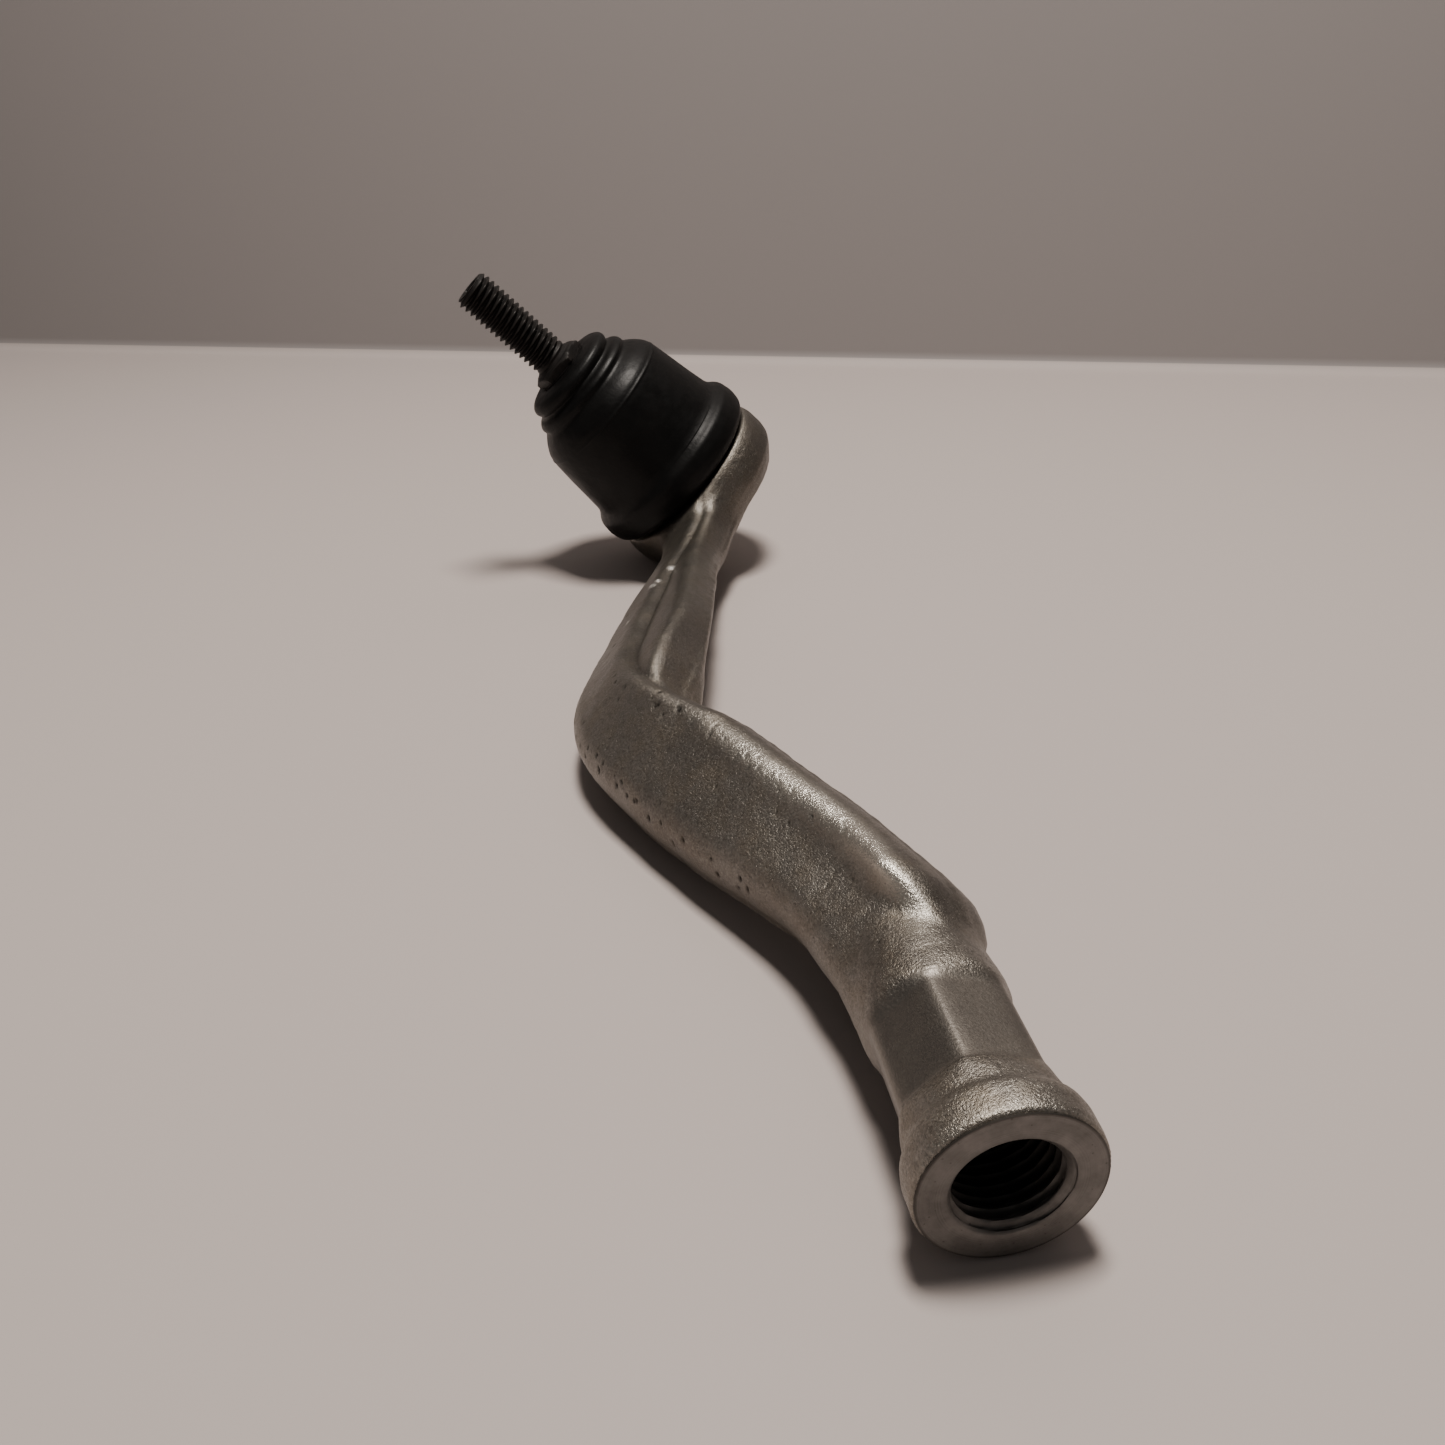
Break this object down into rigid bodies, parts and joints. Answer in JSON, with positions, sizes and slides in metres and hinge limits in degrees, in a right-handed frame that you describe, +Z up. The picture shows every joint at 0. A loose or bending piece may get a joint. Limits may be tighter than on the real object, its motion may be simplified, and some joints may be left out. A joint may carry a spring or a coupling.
{
  "type": "tie rod end",
  "caption": "Outer tie rod end: cranked forged steel arm with a female threaded socket, hex flats, and a booted ball stud with male thread.",
  "frame": {"origin": "centre of the footprint of the resting part, on the surface it lies on", "axes": "+Z up; the length of the part lies along Y, with the threaded mouth towards -Y and the ball joint towards +Y; the stud leans up towards -X"},
  "size_m": [0.0758, 0.2576, 0.0755],
  "materials": {
    "forged_body": "shot-blasted zinc-aluminium coated forging, satin",
    "stud_steel": "black phosphate, satin",
    "shell_plastic": "natural acetal",
    "spring_steel": "oiled spring steel",
    "cap_steel": "pressed steel, zinc coated",
    "boot_rubber": "moulded rubber, soft sheen",
    "ring_steel": "bright steel"
  },
  "bodies": {
    "housing": {"forged_body": "forged_body", "bearing_shell": "shell_plastic", "preload_spring": "spring_steel", "end_cap": "cap_steel"},
    "boot": {"dust_boot": "boot_rubber", "boot_base_ring": "ring_steel"},
    "nose": {"boot_nose_ring": "ring_steel"},
    "stud": {"ball_stud": "stud_steel"}
  },
  "joints": [
    {"name": "boot_turn", "type": "hinge", "parent": "housing", "child": "boot", "pos_m": [0.01409, 0.10454, 0.02387], "axis": [-0.7093, -0.0262, 0.7044], "continuous": true},
    {"name": "stud_swing", "type": "hinge", "parent": "boot", "child": "nose", "pos_m": [0.01409, 0.10454, 0.02387], "axis": [0.7049, -0.0264, 0.7088], "range_deg": [-25, 25], "deforming": ["dust_boot"]},
    {"name": "stud_spin", "type": "hinge", "parent": "nose", "child": "stud", "pos_m": [0.01409, 0.10454, 0.02387], "axis": [-0.7093, -0.0262, 0.7044], "continuous": true}
  ]
}
